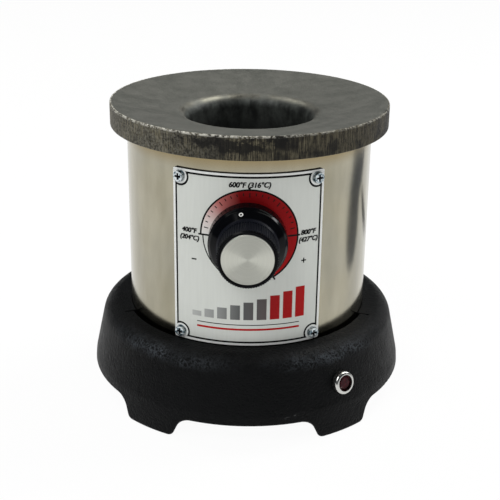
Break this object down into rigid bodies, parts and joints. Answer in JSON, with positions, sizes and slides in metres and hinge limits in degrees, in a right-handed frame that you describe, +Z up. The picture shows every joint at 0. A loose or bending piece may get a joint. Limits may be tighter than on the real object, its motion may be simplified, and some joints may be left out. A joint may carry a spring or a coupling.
{
  "type": "solder pot",
  "caption": "Bench solder pot: dished iron crucible on a polished round shell with a dial plate and knob, on a black cast base with short feet and a pilot lamp.",
  "frame": {"origin": "on the pot's vertical axis at the level of the feet, which is the middle of the part's footprint", "axes": "+Z up along the crucible's axis, -Y towards the front with the knob, +X to the right seen from the front"},
  "size_m": [0.1484, 0.1638, 0.1371],
  "materials": {
    "cast_iron_bare": "ground and worn bare iron",
    "polished_sheet": "polished stainless sheet",
    "wrinkle_black": "black wrinkle paint",
    "plate_silver": "printed satin sheet",
    "zinc_plated": "bright zinc plate",
    "knob_black": "moulded gloss black",
    "spun_aluminium": "spun face",
    "plain_steel": "mill finish",
    "brass_plain": "plain brass",
    "bright_chrome": "bright plate",
    "lamp_red": "dark red moulded lens",
    "black_moulding": "moulded",
    "fibre_wool": "felted mineral fibre"
  },
  "bodies": {
    "pot": {"crucible": "cast_iron_bare", "outer_shell": "polished_sheet", "base_casting": "wrinkle_black", "control_plate": "plate_silver", "plate_screws": "zinc_plated", "control_body": "black_moulding", "control_blades": "brass_plain", "control_bushing": "brass_plain", "control_nut": "zinc_plated", "heater_band": "plain_steel", "heater_clamp_screw": "zinc_plated", "heater_clamp_nut": "zinc_plated", "heater_terminals": "plain_steel", "insulation_blanket": "fibre_wool", "tie_rods": "plain_steel", "tie_rod_washers": "zinc_plated", "tie_rod_nuts": "zinc_plated", "bottom_cover": "plain_steel", "bottom_cover_screws": "zinc_plated", "pilot_bezel": "bright_chrome", "pilot_lens": "lamp_red", "pilot_body": "black_moulding", "pilot_nut": "zinc_plated", "cord_bushing": "black_moulding"},
    "knob": {"knob_body": "knob_black", "knob_cap": "spun_aluminium", "knob_set_screw": "plain_steel", "control_shaft": "plain_steel"}
  },
  "joints": [
    {"name": "knob_turn", "type": "hinge", "parent": "pot", "child": "knob", "pos_m": [0, -0.07, 0.0912], "axis": [0, 1, 0], "range_deg": [-138, 162]}
  ]
}
